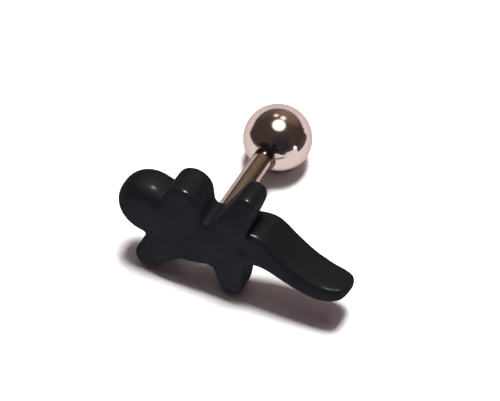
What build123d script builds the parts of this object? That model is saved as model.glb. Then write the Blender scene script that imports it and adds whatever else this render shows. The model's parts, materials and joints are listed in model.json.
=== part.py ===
from build123d import *
import math
import os

# A stud earring lying on a flat surface, on its ball and on two feet of a small four-legged figure.
# The figure's back faces the front (-Y). The bar leaves its belly and slopes down to the ball (+Y).
# Sizes are in millimetres.

# Ball and bar
ball_diameter = 4.0
ball_flat_radius = 0.75
ball_bore_depth = 1.8
bar_diameter = 1.2
bar_length = 6.0
thread_diameter = 0.88
thread_length = 1.6
thread_chamfer = 0.12
tang_diameter = 0.8
tang_length = 1.3
running_gap = 0.03
seat_gap = 0.02

# Figure, a thick flat shape with rounded edges, from the tip of the head to the tip of the tail
head_length = 3.3
body_length = 5.5
tail_length = 5.3
head_width = 3.4
body_width = 3.3
tail_width = 2.2
head_depth = 2.5
body_depth = 2.2
tail_depth = 1.6
head_edge_radius = 0.9
edge_radius = 0.5
corner_share = 0.45
head_from_neck = 1.1
head_rise = 1.1
bar_from_neck = 2.5
seat_depth = 1.05
seat_radius = 0.8

# Limbs, from the bar's axis to the end of each
fore_arm_reach = 3.85
fore_arm_radius = 1.1
hind_arm_reach = 4.55
hind_arm_radius = 0.62
foot_drop = 3.33
fore_leg_radius = 0.75
hind_leg_radius = 0.62
arm_depth = 2.1
leg_depth = 2.0
leg_set_back = 0.2

# Sections along the figure. Place is a share of that stretch's length, rise and back shares of the
# body's width and depth from the bar's axis, width and depth shares of that stretch's own. Turn is
# in degrees about the spine.
body_sections = [
    # place, rise, back, width, depth, turn
    (-0.10, 0.28, 0.00, 0.70, 0.94, 0),
    (0.05, 0.20, 0.00, 0.96, 1.00, 0),
    (0.24, 0.07, 0.00, 1.12, 1.00, 0),
    (0.46, 0.09, 0.00, 1.00, 1.00, 0),
    (0.64, 0.16, 0.00, 0.91, 1.00, 0),
    (0.82, 0.30, 0.00, 0.84, 1.00, 0),
]
tail_sections = [
    (0.00, 0.42, 0.00, 1.16, 1.37, 0),
    (0.11, 0.41, 0.00, 1.04, 1.34, 8),
    (0.24, 0.33, 0.02, 0.97, 1.22, 20),
    (0.39, 0.18, 0.06, 1.01, 1.06, 33),
    (0.56, 0.01, 0.14, 0.99, 0.94, 46),
    (0.72, -0.12, 0.23, 0.92, 0.84, 58),
    (0.85, -0.14, 0.30, 0.78, 0.78, 63),
    (0.95, -0.14, 0.33, 0.56, 0.60, 64),
    (1.00, -0.13, 0.34, 0.26, 0.30, 64),
]

# The two ends of each limb. Place is a share of the body's length from the neck, rise a share of
# the limb's reach that the round end touches, size a share of its radius.
fore_arm = [
    # place, rise, size
    (0.245, 0.60, 1.14),
    (0.224, 1.00, 1.00),
]
hind_arm = [
    (0.760, 0.55, 1.40),
    (0.865, 1.00, 1.00),
]
fore_leg = [
    (0.109, 0.48, 1.60),
    (-0.142, 1.00, 1.00),
]
hind_leg = [
    (0.727, 0.27, 1.77),
    (0.795, 1.00, 1.00),
]

# The bar's slope puts the ball and the two feet on one level surface.
ball_radius = ball_diameter / 2
ball_seat = math.sqrt(ball_radius**2 - ball_flat_radius**2)
shank_start = seat_depth + seat_gap
shank_end = shank_start + bar_length
ball_flat = shank_end + seat_gap
reach = ball_flat + ball_seat
sole_drop = foot_drop - edge_radius
sole_to_ball = reach - leg_set_back - leg_depth / 2 + edge_radius
sole_span = math.hypot(sole_drop, sole_to_ball)
slope = math.atan2(sole_drop, sole_to_ball) + math.asin((edge_radius - ball_radius) / sole_span)
axis_height = ball_radius + reach * math.sin(slope)
outward = Vector(0, -math.cos(slope), math.sin(slope))
figure_plane = Plane(origin=(0, 0, axis_height), x_dir=(1, 0, 0), z_dir=outward)
bar_plane = Plane(origin=(0, 0, axis_height), x_dir=(1, 0, 0), z_dir=-outward)
tail_start = body_length - bar_from_neck


def draw_sections(rows, start, length, width, depth):
    """One rounded rectangle for each row, turned about the figure's spine."""
    sections = []
    for place, rise, back, wide, deep, turn in rows:
        centre = figure_plane.from_local_coords(
            Vector(start + place * length, rise * body_width, -back * body_depth)
        )
        outward_side = outward.rotate(Axis(centre, figure_plane.x_dir), -turn)
        size = (deep * depth, wide * width)
        corner = min(edge_radius, corner_share * min(size))
        with BuildSketch(Plane(origin=centre, x_dir=outward_side, z_dir=(1, 0, 0))) as section:
            RectangleRounded(*size, corner)
        sections.append(section.sketch)
    return sections


def add_limb(ends, side, limb_reach, radius, depth, set_back=0.0):
    """A flat limb with two round ends, rounded along its edges. Side is 1 up and -1 down."""
    (start, start_radius), (end, end_radius) = [
        (
            Vector(place * body_length - bar_from_neck, side * (rise * limb_reach - size * radius)),
            size * radius,
        )
        for place, rise, size in ends
    ]
    span = (end - start).length
    lean = math.degrees(math.asin((start_radius - end_radius) / span))
    heading = math.degrees(math.atan2((end - start).Y, (end - start).X))
    with BuildPart(mode=Mode.PRIVATE) as limb:
        with BuildSketch(figure_plane.offset(-set_back)) as outline:
            with BuildLine():
                near = CenterArc(start, start_radius, heading + 90 - lean, 180 + 2 * lean)
                far = CenterArc(end, end_radius, heading - 90 + lean, 180 - 2 * lean)
                Line(near @ 0, far @ 1)
                Line(near @ 1, far @ 0)
            make_face()
        extrude(amount=depth / 2, both=True)
        rims = limb.faces().filter_by(Axis(figure_plane.origin, outward)).edges()
        fillet(rims, edge_radius)
    add(limb.part)


with BuildPart() as animal_figure:
    with BuildSketch(figure_plane):
        with Locations((-bar_from_neck - head_from_neck, head_rise)):
            Ellipse(head_length / 2, head_width / 2)
    extrude(amount=head_depth / 2, both=True)
    fillet(animal_figure.faces().filter_by(Axis(figure_plane.origin, outward)).edges(), head_edge_radius)
    body = draw_sections(body_sections, -bar_from_neck, body_length, body_width, body_depth)
    tail = draw_sections(tail_sections, tail_start, tail_length, tail_width, tail_depth)
    loft(body + tail)
    add_limb(fore_arm, 1, fore_arm_reach, fore_arm_radius, arm_depth)
    add_limb(hind_arm, 1, hind_arm_reach, hind_arm_radius, arm_depth)
    add_limb(fore_leg, -1, foot_drop, fore_leg_radius, leg_depth, leg_set_back)
    add_limb(hind_leg, -1, foot_drop, hind_leg_radius, leg_depth, leg_set_back)
    # Flat seat and blind socket for the bar, in the belly
    with BuildSketch(bar_plane.offset(seat_depth)):
        Circle(seat_radius)
    extrude(amount=body_depth, mode=Mode.SUBTRACT)
    with BuildSketch(bar_plane.offset(seat_depth)):
        Circle(tang_diameter / 2 + running_gap)
    extrude(amount=-tang_length - running_gap, mode=Mode.SUBTRACT)

with BuildPart() as ear_bar:
    with BuildSketch(bar_plane.offset(shank_start)):
        Circle(bar_diameter / 2)
    extrude(amount=bar_length)
    with BuildSketch(bar_plane.offset(shank_start)):
        Circle(tang_diameter / 2)
    extrude(amount=-tang_length)
    with BuildSketch(bar_plane.offset(shank_end)):
        Circle(thread_diameter / 2)
    extrude(amount=thread_length)
    thread_end = ear_bar.edges().sort_by(Axis(bar_plane.origin, -outward))[-1]
    chamfer(thread_end, thread_chamfer)

with BuildPart() as screw_ball:
    with Locations(bar_plane.offset(reach)):
        Sphere(ball_radius)
    with BuildSketch(bar_plane.offset(ball_flat)):
        Circle(ball_radius)
    extrude(amount=-ball_radius, mode=Mode.SUBTRACT)
    with BuildSketch(bar_plane.offset(ball_flat)):
        Circle(thread_diameter / 2 + running_gap)
    extrude(amount=ball_bore_depth, mode=Mode.SUBTRACT)

# The origin is the middle of the lying earring's box, on the surface.
pieces = {
    "animal_figure": animal_figure.part,
    "ear_bar": ear_bar.part,
    "screw_ball": screw_ball.part,
}
whole = Compound(children=[Part(piece.wrapped) for piece in pieces.values()]).bounding_box()
to_origin = Location((-whole.center().X, -whole.center().Y, 0))
os.makedirs("parts", exist_ok=True)
for name, piece in pieces.items():
    placed = to_origin * piece
    placed.label = name
    export_step(placed, f"parts/{name}.step")
axis_point = to_origin.position + figure_plane.origin
print("slope", math.degrees(slope), "axis point", axis_point, "lowest", whole.min.Z)
print("shank", shank_start, shank_end, "box", whole.size)
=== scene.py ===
# A stud earring lying on a pale floor: its steel bar, a mirror ball and a black moulded figure
import json
import math
import bmesh
import bpy
from mathutils import Matrix, Vector


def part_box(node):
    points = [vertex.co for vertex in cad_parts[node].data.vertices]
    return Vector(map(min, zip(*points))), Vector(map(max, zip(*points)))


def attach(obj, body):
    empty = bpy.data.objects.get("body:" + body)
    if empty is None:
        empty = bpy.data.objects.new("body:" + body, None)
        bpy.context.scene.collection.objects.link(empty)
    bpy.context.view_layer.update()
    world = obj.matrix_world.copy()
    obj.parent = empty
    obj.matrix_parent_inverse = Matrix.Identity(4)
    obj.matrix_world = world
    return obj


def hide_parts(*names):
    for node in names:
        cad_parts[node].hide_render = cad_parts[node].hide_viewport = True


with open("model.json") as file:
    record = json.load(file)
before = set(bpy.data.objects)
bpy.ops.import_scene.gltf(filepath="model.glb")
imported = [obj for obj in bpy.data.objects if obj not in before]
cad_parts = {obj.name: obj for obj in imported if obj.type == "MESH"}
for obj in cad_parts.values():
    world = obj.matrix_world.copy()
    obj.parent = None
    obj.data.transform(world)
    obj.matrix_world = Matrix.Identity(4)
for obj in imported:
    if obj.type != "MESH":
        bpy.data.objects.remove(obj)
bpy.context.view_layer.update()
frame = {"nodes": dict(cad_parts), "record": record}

mm = 0.001
ballLow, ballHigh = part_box("screw_ball")
ballRadius = (ballHigh.x - ballLow.x) / 2
ballCentre = Vector(((ballLow.x + ballHigh.x) / 2, ballHigh.y - ballRadius, ballRadius))
barMount = frame["record"]["mounts"][0]
toBall = Vector(barMount["axis"]).normalized()
plateUp = Vector((1, 0, 0)).cross(toBall)
print("ball centre", ballCentre, "radius", ballRadius)


# Shader helpers
def principled(name, baseColour, **values):
    sockets = {"metallic": "Metallic", "roughness": "Roughness", "coatRoughness": "Coat Roughness",
               "specularLevel": "Specular IOR Level", "specularTint": "Specular Tint",
               "glowColour": "Emission Color", "glowStrength": "Emission Strength"}
    material = bpy.data.materials.new(name)
    material.use_nodes = True
    shader = material.node_tree.nodes["Principled BSDF"]
    shader.inputs["Base Color"].default_value = baseColour
    for key, value in values.items():
        shader.inputs[sockets[key]].default_value = value
    return material, shader


def addRange(tree, value, fromLow, fromHigh, toLow=0.0, toHigh=1.0, smooth=False):
    node = tree.nodes.new("ShaderNodeMapRange")
    if smooth:
        node.interpolation_type = "SMOOTHSTEP"
    node.inputs["From Min"].default_value = fromLow
    node.inputs["From Max"].default_value = fromHigh
    node.inputs["To Min"].default_value = toLow
    node.inputs["To Max"].default_value = toHigh
    tree.links.new(value, node.inputs["Value"])
    return node.outputs["Result"]


def addMath(tree, operation, first, second):
    node = tree.nodes.new("ShaderNodeMath")
    node.operation = operation
    tree.links.new(first, node.inputs[0])
    tree.links.new(second, node.inputs[1])
    return node.outputs["Value"]


def addFacing(tree, vector, direction):  # 1 where the vector points along the direction
    node = tree.nodes.new("ShaderNodeVectorMath")
    node.operation = "DOT_PRODUCT"
    node.inputs[1].default_value = Vector(direction).normalized()
    tree.links.new(vector, node.inputs[0])
    return node.outputs["Value"]


# Camera, from the ball's place in the photo
cameraSet = {"azimuth": 26, "elevation": 53.5, "focal": 158.4, "sensor": 36,
             "clipStart": 0.01, "clipEnd": 50,
             "width": 500, "height": 401, "ballX": 277.7, "ballY": 138.4, "ballRadius": 34.9}
azimuth = math.radians(cameraSet["azimuth"])
elevation = math.radians(cameraSet["elevation"])
focalPx = cameraSet["focal"] / cameraSet["sensor"] * cameraSet["width"]
forward = Vector((-math.sin(azimuth) * math.cos(elevation),
                  math.cos(azimuth) * math.cos(elevation), -math.sin(elevation)))
right = Vector((math.cos(azimuth), math.sin(azimuth), 0))
up = right.cross(forward)
distance = focalPx * ballRadius / cameraSet["ballRadius"]
cameraPlace = (ballCentre - forward * distance
               - right * (cameraSet["ballX"] - cameraSet["width"] / 2) / focalPx * distance
               + up * (cameraSet["ballY"] - cameraSet["height"] / 2) / focalPx * distance)
bpy.ops.object.camera_add(location=cameraPlace)
camera = bpy.context.object
camera.matrix_world = (Matrix.Translation(cameraPlace)
                       @ Matrix((right, up, -forward)).transposed().to_4x4())
camera.data.lens = cameraSet["focal"]
camera.data.sensor_width = cameraSet["sensor"]
camera.data.clip_start = cameraSet["clipStart"]
camera.data.clip_end = cameraSet["clipEnd"]
bpy.context.scene.camera = camera
print("camera", cameraPlace)

# Floor
floorSet = {"size": 30, "colour": (0.8, 0.79, 0.79, 1), "roughness": 0.9}
bpy.ops.mesh.primitive_plane_add(size=floorSet["size"])
floor = bpy.context.object
floor.name = "floor"
floorMaterial, _ = principled("floor_white", floorSet["colour"], roughness=floorSet["roughness"])
floor.data.materials.append(floorMaterial)

# Lights
lightSet = {
    "distance": 0.6,
    "main": {"direction": (0.0, 0.16, 0.98), "degrees": 15, "watts": 7.1, "colour": (1, 0.99, 0.98)},
    "side": {"direction": (0.99, -0.16, 0.03), "degrees": 7, "watts": 0.25, "colour": (1, 1, 1)},
}


def addLight(name, direction, degrees, watts, colour):
    direction = Vector(direction).normalized()
    bpy.ops.object.light_add(type="AREA", location=direction * lightSet["distance"])
    lamp = bpy.context.object
    lamp.name = name
    lamp.data.shape = "SQUARE"
    lamp.data.size = 2 * lightSet["distance"] * math.tan(math.radians(degrees / 2))
    lamp.data.energy = watts
    lamp.data.color = colour
    lamp.rotation_euler = direction.to_track_quat("Z", "Y").to_euler()


addLight("main_light", **lightSet["main"])
addLight("side_light", **lightSet["side"])

# Low cards that only reflections see: dark ones beside the earring, a pale one far behind it
cardSet = {"dark": (0.12, 0.078, 0.066, 1), "darkHeight": 0.0032,
           "darkPlaces": (  # across, near end, far end
               (0.0083, ballCentre.y - 0.0014, 0.012),
               (-0.0225, -0.06, 0.002)),
           "pale": (1.6, 1.5, 1.47, 1), "paleHeight": 0.015, "paleWidth": 0.24,
           "paleDistance": 0.06, "paleTurn": 24}


def addCard(name, colour, place, width, height, turn):
    bpy.ops.mesh.primitive_plane_add(size=1, location=(*place, height / 2),
                                     rotation=(math.pi / 2, 0, turn))
    card = bpy.context.object
    card.scale = (width, height, 1)
    card.name = name
    material, _ = principled(name, (0, 0, 0, 1), glowColour=colour, glowStrength=1.0)
    card.data.materials.append(material)
    card.visible_camera = card.visible_diffuse = card.visible_shadow = False


for across, nearEnd, farEnd in cardSet["darkPlaces"]:
    addCard("card_dark", cardSet["dark"], (across, (nearEnd + farEnd) / 2), farEnd - nearEnd,
            cardSet["darkHeight"], math.pi / 2)
paleTurn = math.radians(cardSet["paleTurn"])
addCard("card_pale", cardSet["pale"], (ballCentre.x - math.sin(paleTurn) * cardSet["paleDistance"],
                                       ballCentre.y + math.cos(paleTurn) * cardSet["paleDistance"]),
        cardSet["paleWidth"], cardSet["paleHeight"], paleTurn)

# The room that the steel mirrors: a dark wall with a few soft patches
roomSet = {
    "wall": (0.12, 0.085, 0.082, 1),
    "backdrop": (1, 1, 1, 1),  # what the camera sees past the floor
    "fill": (0.135, 0.086, 0.102, 1),  # what lights the shadows, more of it from behind
    "fillFront": 0.3, "fillBack": 1.7, "fillFrom": -0.3, "fillTo": 0.5,
    "patches": [  # direction, degrees to the edge, softness, colour
        ((0.0, 0.12, 0.98), 20, 2, (2.7, 2.6, 2.5)),
        ((-0.36, 0.59, 0.72), 5, 3, (2.6, 2.2, 1.7)),
        ((-0.02, 0.61, 0.79), 6, 3, (3.0, 2.8, 2.5)),
        ((0.08, 0.86, 0.50), 22, 18, (0.26, 0.20, 0.11)),
        ((-0.44, 0.85, 0.15), 30, 25, (0.12, 0.11, 0.11)),
        ((0.56, -0.72, 0.41), 28, 9, (-0.058, -0.027, -0.017)),
    ],
}


def addPatch(tree, glow, sight, direction, reach, soft, colour):
    facing = addFacing(tree, sight, direction)
    fade = addRange(tree, facing, math.cos(math.radians(reach + soft)),
                    math.cos(math.radians(max(reach - soft, 0))), smooth=True)
    tint = tree.nodes.new("ShaderNodeVectorMath")
    tint.operation = "SCALE"
    tint.inputs[0].default_value = colour
    tree.links.new(fade, tint.inputs["Scale"])
    total = tree.nodes.new("ShaderNodeVectorMath")
    total.operation = "ADD"
    tree.links.new(glow, total.inputs[0])
    tree.links.new(tint.outputs["Vector"], total.inputs[1])
    return total.outputs["Vector"]


def mixShaders(tree, factor, first, second):
    node = tree.nodes.new("ShaderNodeMixShader")
    tree.links.new(factor, node.inputs["Fac"])
    tree.links.new(first.outputs[0], node.inputs[1])
    tree.links.new(second.outputs[0], node.inputs[2])
    return node


def makeRoom():
    world = bpy.data.worlds.new("room")
    world.use_nodes = True
    tree = world.node_tree
    sight = tree.nodes.new("ShaderNodeTexCoord").outputs["Generated"]
    wall = tree.nodes.new("ShaderNodeRGB")
    wall.outputs[0].default_value = roomSet["wall"]
    glow = wall.outputs[0]
    for patch in roomSet["patches"]:
        glow = addPatch(tree, glow, sight, *patch)
    mirrored = tree.nodes["Background"]
    tree.links.new(glow, mirrored.inputs["Color"])
    fill = tree.nodes.new("ShaderNodeBackground")
    fill.inputs["Color"].default_value = roomSet["fill"]
    sides = tree.nodes.new("ShaderNodeSeparateXYZ")
    tree.links.new(sight, sides.inputs[0])
    strength = addRange(tree, sides.outputs["Y"], roomSet["fillFrom"], roomSet["fillTo"],
                        roomSet["fillFront"], roomSet["fillBack"])
    tree.links.new(strength, fill.inputs["Strength"])
    backdrop = tree.nodes.new("ShaderNodeBackground")
    backdrop.inputs["Color"].default_value = roomSet["backdrop"]
    rays = tree.nodes.new("ShaderNodeLightPath").outputs
    room = mixShaders(tree, rays["Is Diffuse Ray"], mirrored, fill)
    room = mixShaders(tree, rays["Is Camera Ray"], room, backdrop)
    tree.links.new(room.outputs[0], tree.nodes["World Output"].inputs["Surface"])
    return world


bpy.context.scene.world = makeRoom()
bpy.context.scene.view_settings.view_transform = "Standard"
print("stage set")


# Grain of every finish: fine bumps, and a coarser cloud that makes the gloss uneven
grainSet = {"detail": 6, "strength": 0.4, "cloudSize": 8, "cloudDetail": 3, "cloudFrom": 0.3, "cloudTo": 0.7}


def addGrain(material, scale, depth, roughLow, roughHigh):
    tree = material.node_tree
    shader = tree.nodes["Principled BSDF"]
    place = tree.nodes.new("ShaderNodeTexCoord").outputs["Object"]
    grain = tree.nodes.new("ShaderNodeTexNoise")
    grain.inputs["Scale"].default_value = scale
    grain.inputs["Detail"].default_value = grainSet["detail"]
    tree.links.new(place, grain.inputs["Vector"])
    bump = tree.nodes.new("ShaderNodeBump")
    bump.inputs["Strength"].default_value = grainSet["strength"]
    bump.inputs["Distance"].default_value = depth
    tree.links.new(grain.outputs["Fac"], bump.inputs["Height"])
    tree.links.new(bump.outputs["Normal"], shader.inputs["Normal"])
    cloud = tree.nodes.new("ShaderNodeTexNoise")
    cloud.inputs["Scale"].default_value = scale / grainSet["cloudSize"]
    cloud.inputs["Detail"].default_value = grainSet["cloudDetail"]
    tree.links.new(place, cloud.inputs["Vector"])
    gloss = addRange(tree, cloud.outputs["Fac"], grainSet["cloudFrom"], grainSet["cloudTo"],
                     roughLow, roughHigh)
    tree.links.new(gloss, shader.inputs["Roughness"])


# Black moulded figure
figureFinish = {
    "colour": (0.0265, 0.0270, 0.0335, 1), "edge": (0.12, 0.12, 0.14, 1),
    "metallic": 0.75, "gloss": 0.02, "coatRoughness": 0.15,
    "up": (0.12, -0.2, 0.97),
    "paintedShade": (0.0116, 0.0114, 0.0132, 1), "paintedShadeFrom": 0.25, "paintedShadeTo": 0.8,  # painted shade: sides that look up get a darker colour, to even out the stronger light that falls on them
    "rubFrom": 0.93, "rubTo": 0.985,  # edges that look up are rubbed shinier
    "tipFrom": 0.0060, "tipTo": 0.0073, "tipCoat": 0.36,  # most of all on the tips that stand out
    "coatSteps": [  # along from, to, coat added: the hip, and the end of the tail
        (0.0008, 0.0013, 0.16),
        (0.0024, 0.0029, -0.16),
        (0.0054, 0.0060, 0.08),
    ],
    "grain": {"scale": 6000, "depth": 0.000006, "roughLow": 0.64, "roughHigh": 0.8},
}


def makeFigureMaterial(finish):
    material, shader = principled(
        "figure_black", finish["colour"], metallic=finish["metallic"], specularLevel=finish["gloss"],
        specularTint=finish["edge"], coatRoughness=finish["coatRoughness"])
    tree = material.node_tree
    place = tree.nodes.new("ShaderNodeTexCoord")
    upward = addFacing(tree, place.outputs["Normal"], finish["up"])
    rub = addRange(tree, upward, finish["rubFrom"], finish["rubTo"], smooth=True)
    axes = tree.nodes.new("ShaderNodeSeparateXYZ")
    tree.links.new(place.outputs["Object"], axes.inputs[0])
    coat = addRange(tree, axes.outputs["Z"], finish["tipFrom"], finish["tipTo"], toHigh=finish["tipCoat"])
    for start, end, amount in finish["coatSteps"]:
        step = addRange(tree, axes.outputs["X"], start, end, toHigh=amount)
        coat = addMath(tree, "ADD", coat, step)
    tree.links.new(addMath(tree, "MULTIPLY", rub, coat), shader.inputs["Coat Weight"])
    # Painted shade: the base colour turns darker where a side looks up, standing in for the light falling on
    # it
    shadedColour = tree.nodes.new("ShaderNodeMix")
    shadedColour.data_type = "RGBA"
    shadedColour.inputs["A"].default_value = finish["colour"]
    shadedColour.inputs["B"].default_value = finish["paintedShade"]
    paintedShadeMask = addRange(tree, upward, finish["paintedShadeFrom"], finish["paintedShadeTo"], smooth=True)
    tree.links.new(paintedShadeMask, shadedColour.inputs["Factor"])
    tree.links.new(shadedColour.outputs["Result"], shader.inputs["Base Color"])
    addGrain(material, **finish["grain"])
    return material


# Polished steel, a little duller on the bar
ballFinish = {"colour": (0.4, 0.335, 0.315, 1), "edge": (0.6, 0.52, 0.52, 1),
              "grain": {"scale": 9000, "depth": 0.0000004, "roughLow": 0.09, "roughHigh": 0.15}}
barFinish = {"colour": (0.34, 0.275, 0.255, 1), "edge": (0.35, 0.3, 0.28, 1),
             "grain": {"scale": 9000, "depth": 0.0000006, "roughLow": 0.10, "roughHigh": 0.16}}


def makeSteel(name, finish):
    material, _ = principled(name, finish["colour"], specularTint=finish["edge"], metallic=1.0)
    addGrain(material, **finish["grain"])
    return material


nodeMaterials = {"animal_figure": makeFigureMaterial(figureFinish),
                 "ear_bar": makeSteel("steel_bar", barFinish),
                 "screw_ball": makeSteel("steel", ballFinish)}
for nodeName, material in nodeMaterials.items():
    for slot in frame["nodes"][nodeName].material_slots:
        slot.material = material
print("materials set")


def deselectAll():
    bpy.ops.object.select_all(action="DESELECT")


def finishWith(piece, kind, **settings):  # adds a modifier and applies it
    deselectAll()
    piece.select_set(True)
    bpy.context.view_layer.objects.active = piece
    modifier = piece.modifiers.new(kind.lower(), kind)
    for name, value in settings.items():
        setattr(modifier, name, value)
    bpy.ops.object.modifier_apply(modifier=modifier.name)


def placeAlongBar(piece, origin):  # from millimetres with the bar below, to metres where it belongs
    axes = Matrix((Vector((1, 0, 0)), plateUp, -toBall)).transposed().to_4x4()
    piece.matrix_world = Matrix.Translation(origin) @ axes @ Matrix.Scale(mm, 4)
    bpy.ops.object.transform_apply(location=True, rotation=True, scale=True)


# Ball, in millimetres with its flat upward
ballSet = {"radius": 2.0, "flatRadius": 0.75, "boreRadius": 0.47, "boreDepth": 1.8,
           "edge": 0.05, "edgeSegments": 3, "segments": 128, "rings": 64,
           "sharpAngle": 15, "smoothAngle": 40}


def makeBall(shape):
    flatHeight = math.sqrt(shape["radius"] ** 2 - shape["flatRadius"] ** 2)
    deselectAll()
    bpy.ops.mesh.primitive_uv_sphere_add(segments=shape["segments"], ring_count=shape["rings"],
                                         radius=shape["radius"])
    ball = bpy.context.object
    bpy.ops.object.mode_set(mode="EDIT")
    bpy.ops.mesh.select_all(action="SELECT")
    bpy.ops.mesh.bisect(plane_co=(0, 0, flatHeight), plane_no=(0, 0, 1), use_fill=True, clear_outer=True)
    bpy.ops.mesh.select_mode(type="FACE")
    bpy.ops.mesh.inset(thickness=shape["flatRadius"] - shape["boreRadius"])
    bpy.ops.mesh.extrude_region_move(TRANSFORM_OT_translate={"value": (0, 0, -shape["boreDepth"])})
    bpy.ops.mesh.select_mode(type="EDGE")
    bpy.ops.mesh.select_all(action="DESELECT")
    bpy.ops.mesh.edges_select_sharp(sharpness=math.radians(shape["sharpAngle"]))
    bpy.ops.mesh.bevel(offset=shape["edge"], segments=shape["edgeSegments"], affect="EDGES")
    bpy.ops.object.mode_set(mode="OBJECT")
    placeAlongBar(ball, ballCentre)
    bpy.ops.object.shade_smooth_by_angle(angle=math.radians(shape["smoothAngle"]))
    return ball


ball = makeBall(ballSet)
ball.name = "mirror_ball"
ball.data.materials.append(nodeMaterials["screw_ball"])
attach(ball, "ball")
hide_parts("screw_ball")
print("ball", len(ball.data.polygons), "faces")

# Figure, in millimetres on its own plate: x from head to tail, y up, z outward from the bar
figureSet = {
    "barMiddle": 4.07,  # middle of the bare bar to the middle of the figure's thickness
    "headCentre": (-3.50, 1.06), "headSize": (3.68, 3.6), "headDepth": 2.45, "headEdge": 1.0,
    "headSides": 64, "headEdgeSegments": 8, "limbSides": 48,
    "cornerRadius": 0.3, "cornerSegments": 6, "spineLevels": 2,
    "voxel": 0.055, "smoothFactor": 0.5, "smoothRounds": 110,
    "spine": [  # along, rise, back, width, depth, turn in degrees
        (-3.1, 1.00, 0.0, 2.7, 2.1, 0),
        (-2.3, 0.80, 0.0, 3.45, 2.2, 0),
        (-1.2, 0.23, 0.0, 3.7, 2.2, 0),
        (0.0, 0.29, 0.03, 3.3, 2.2, 0),
        (0.97, 0.41, 0.12, 3.00, 2.2, 0),
        (1.94, 0.75, 0.26, 2.72, 2.27, 1),
        (2.92, 1.00, 0.47, 2.26, 2.5, 1),
        (3.50, 0.90, 0.57, 2.00, 2.64, 5),
        (4.19, 0.43, 0.64, 1.62, 2.68, 6),
        (4.98, -0.07, 0.69, 1.36, 2.65, 6),
        (5.82, -0.47, 0.75, 1.23, 2.60, 8),
        (6.65, -0.73, 0.79, 1.14, 2.52, 8),
        (7.30, -0.75, 0.81, 1.00, 2.42, 8),
        (7.88, -0.63, 0.82, 0.92, 2.15, 12),
        (8.30, -0.53, 0.82, 0.60, 1.50, 15),
    ],
    "limbs": {  # root and tip: x, y, radius, depth, set-back
        "foreArm": ((-1.20, 1.06, 1.22, 2.2, 0.0), (-1.32, 2.72, 1.09, 2.1, 0.0)),
        "hindArm": ((1.37, 1.75, 0.91, 2.2, 0.0), (2.21, 3.88, 0.65, 1.8, 0.22)),
        "foreLeg": ((-1.90, -0.40, 1.25, 2.2, 0.0), (-3.28, -2.58, 0.76, 1.95, 0.17)),
        "hindLeg": ((1.50, 0.20, 1.15, 2.2, 0.1), (1.73, -2.66, 0.66, 1.7, 0.33)),
    },
}


def extrudeSpine(stations):  # body and tail, one section after the other
    deselectAll()
    along, rise, back, width, depth, turn = stations[0]
    centre = Vector((along, rise, -back))
    bpy.ops.mesh.primitive_plane_add(size=1, location=centre, rotation=(0, math.pi / 2, 0))
    spine = bpy.context.object
    bpy.ops.object.transform_apply(location=True, rotation=True, scale=True)
    bpy.ops.object.mode_set(mode="EDIT")
    bpy.ops.mesh.select_all(action="SELECT")
    bpy.ops.transform.resize(value=(1, width, depth), center_override=centre)
    bpy.ops.mesh.bevel(offset=figureSet["cornerRadius"], segments=figureSet["cornerSegments"],
                       affect="VERTICES")
    for along, rise, back, nextWidth, nextDepth, nextTurn in stations[1:]:
        move = Vector((along, rise, -back)) - centre
        centre = centre + move
        bpy.ops.mesh.extrude_region_move(TRANSFORM_OT_translate={"value": move})
        bpy.ops.transform.rotate(value=-math.radians(turn), orient_axis="X", center_override=centre)
        bpy.ops.transform.resize(value=(1, nextWidth / width, nextDepth / depth), center_override=centre)
        bpy.ops.transform.rotate(value=math.radians(nextTurn), orient_axis="X", center_override=centre)
        width, depth, turn = nextWidth, nextDepth, nextTurn
    bpy.ops.object.mode_set(mode="OBJECT")
    finishWith(spine, "SUBSURF", levels=figureSet["spineLevels"], render_levels=figureSet["spineLevels"])
    return spine


def bevelFlatRims(reach, segments):  # rounds the edges around the front and back faces
    bpy.ops.mesh.select_mode(type="FACE")
    bpy.ops.mesh.select_all(action="DESELECT")
    mesh = bmesh.from_edit_mesh(bpy.context.object.data)
    for face in mesh.faces:
        face.select = abs(face.normal.z) > 0.99
    mesh.select_flush_mode()
    bpy.ops.mesh.dissolve_faces()
    bpy.ops.mesh.region_to_loop()
    bpy.ops.mesh.bevel(offset=reach, segments=segments, affect="EDGES")


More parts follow.
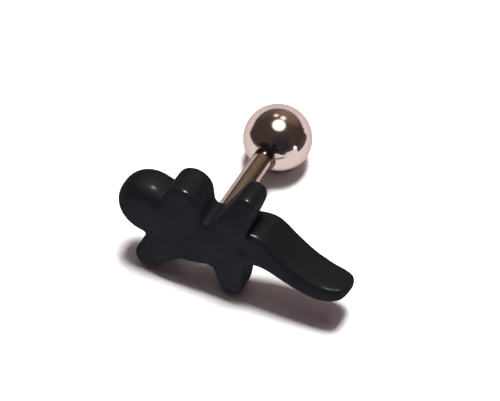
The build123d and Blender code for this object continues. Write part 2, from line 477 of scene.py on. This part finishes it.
def makeHead():
    centre = (*figureSet["headCentre"], 0)
    deselectAll()
    bpy.ops.mesh.primitive_cylinder_add(vertices=figureSet["headSides"], radius=0.5,
                                        depth=figureSet["headDepth"], location=centre)
    head = bpy.context.object
    bpy.ops.object.transform_apply(location=True, rotation=True, scale=True)
    bpy.ops.object.mode_set(mode="EDIT")
    bpy.ops.mesh.select_all(action="SELECT")
    bpy.ops.transform.resize(value=(*figureSet["headSize"], 1), center_override=centre)
    bevelFlatRims(figureSet["headEdge"], figureSet["headEdgeSegments"])
    bpy.ops.object.mode_set(mode="OBJECT")
    return head


def makeLimb(root, tip):  # two round ends and the hull around them
    sides = figureSet["limbSides"]
    deselectAll()
    bpy.ops.mesh.primitive_cylinder_add(vertices=sides, radius=root[2], depth=root[3],
                                        location=(root[0], root[1], -root[4]))
    limb = bpy.context.object
    bpy.ops.object.transform_apply(location=True, rotation=True, scale=True)
    bpy.ops.object.mode_set(mode="EDIT")
    bpy.ops.mesh.primitive_cylinder_add(vertices=sides, radius=tip[2], depth=tip[3],
                                        location=(tip[0], tip[1], -tip[4]))
    bpy.ops.mesh.select_all(action="SELECT")
    bpy.ops.mesh.convex_hull()
    bpy.ops.object.mode_set(mode="OBJECT")
    return limb


def makeFigure():  # all forms joined, melted together and smoothed
    figure = extrudeSpine(figureSet["spine"])
    forms = [figure, makeHead()]
    forms += [makeLimb(*limb) for limb in figureSet["limbs"].values()]
    deselectAll()
    for form in forms:
        form.select_set(True)
    bpy.context.view_layer.objects.active = figure
    bpy.ops.object.join()
    finishWith(figure, "REMESH", mode="VOXEL", voxel_size=figureSet["voxel"], use_smooth_shade=True)
    finishWith(figure, "SMOOTH", factor=figureSet["smoothFactor"], iterations=figureSet["smoothRounds"])
    placeAlongBar(figure, Vector(barMount["pos_m"]) - toBall * figureSet["barMiddle"] * mm)
    return figure


figure = makeFigure()
figure.name = "moulded_figure"
figure.data.materials.append(nodeMaterials["animal_figure"])
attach(figure, "stud")
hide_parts("animal_figure")
print("figure", len(figure.data.polygons), "faces")
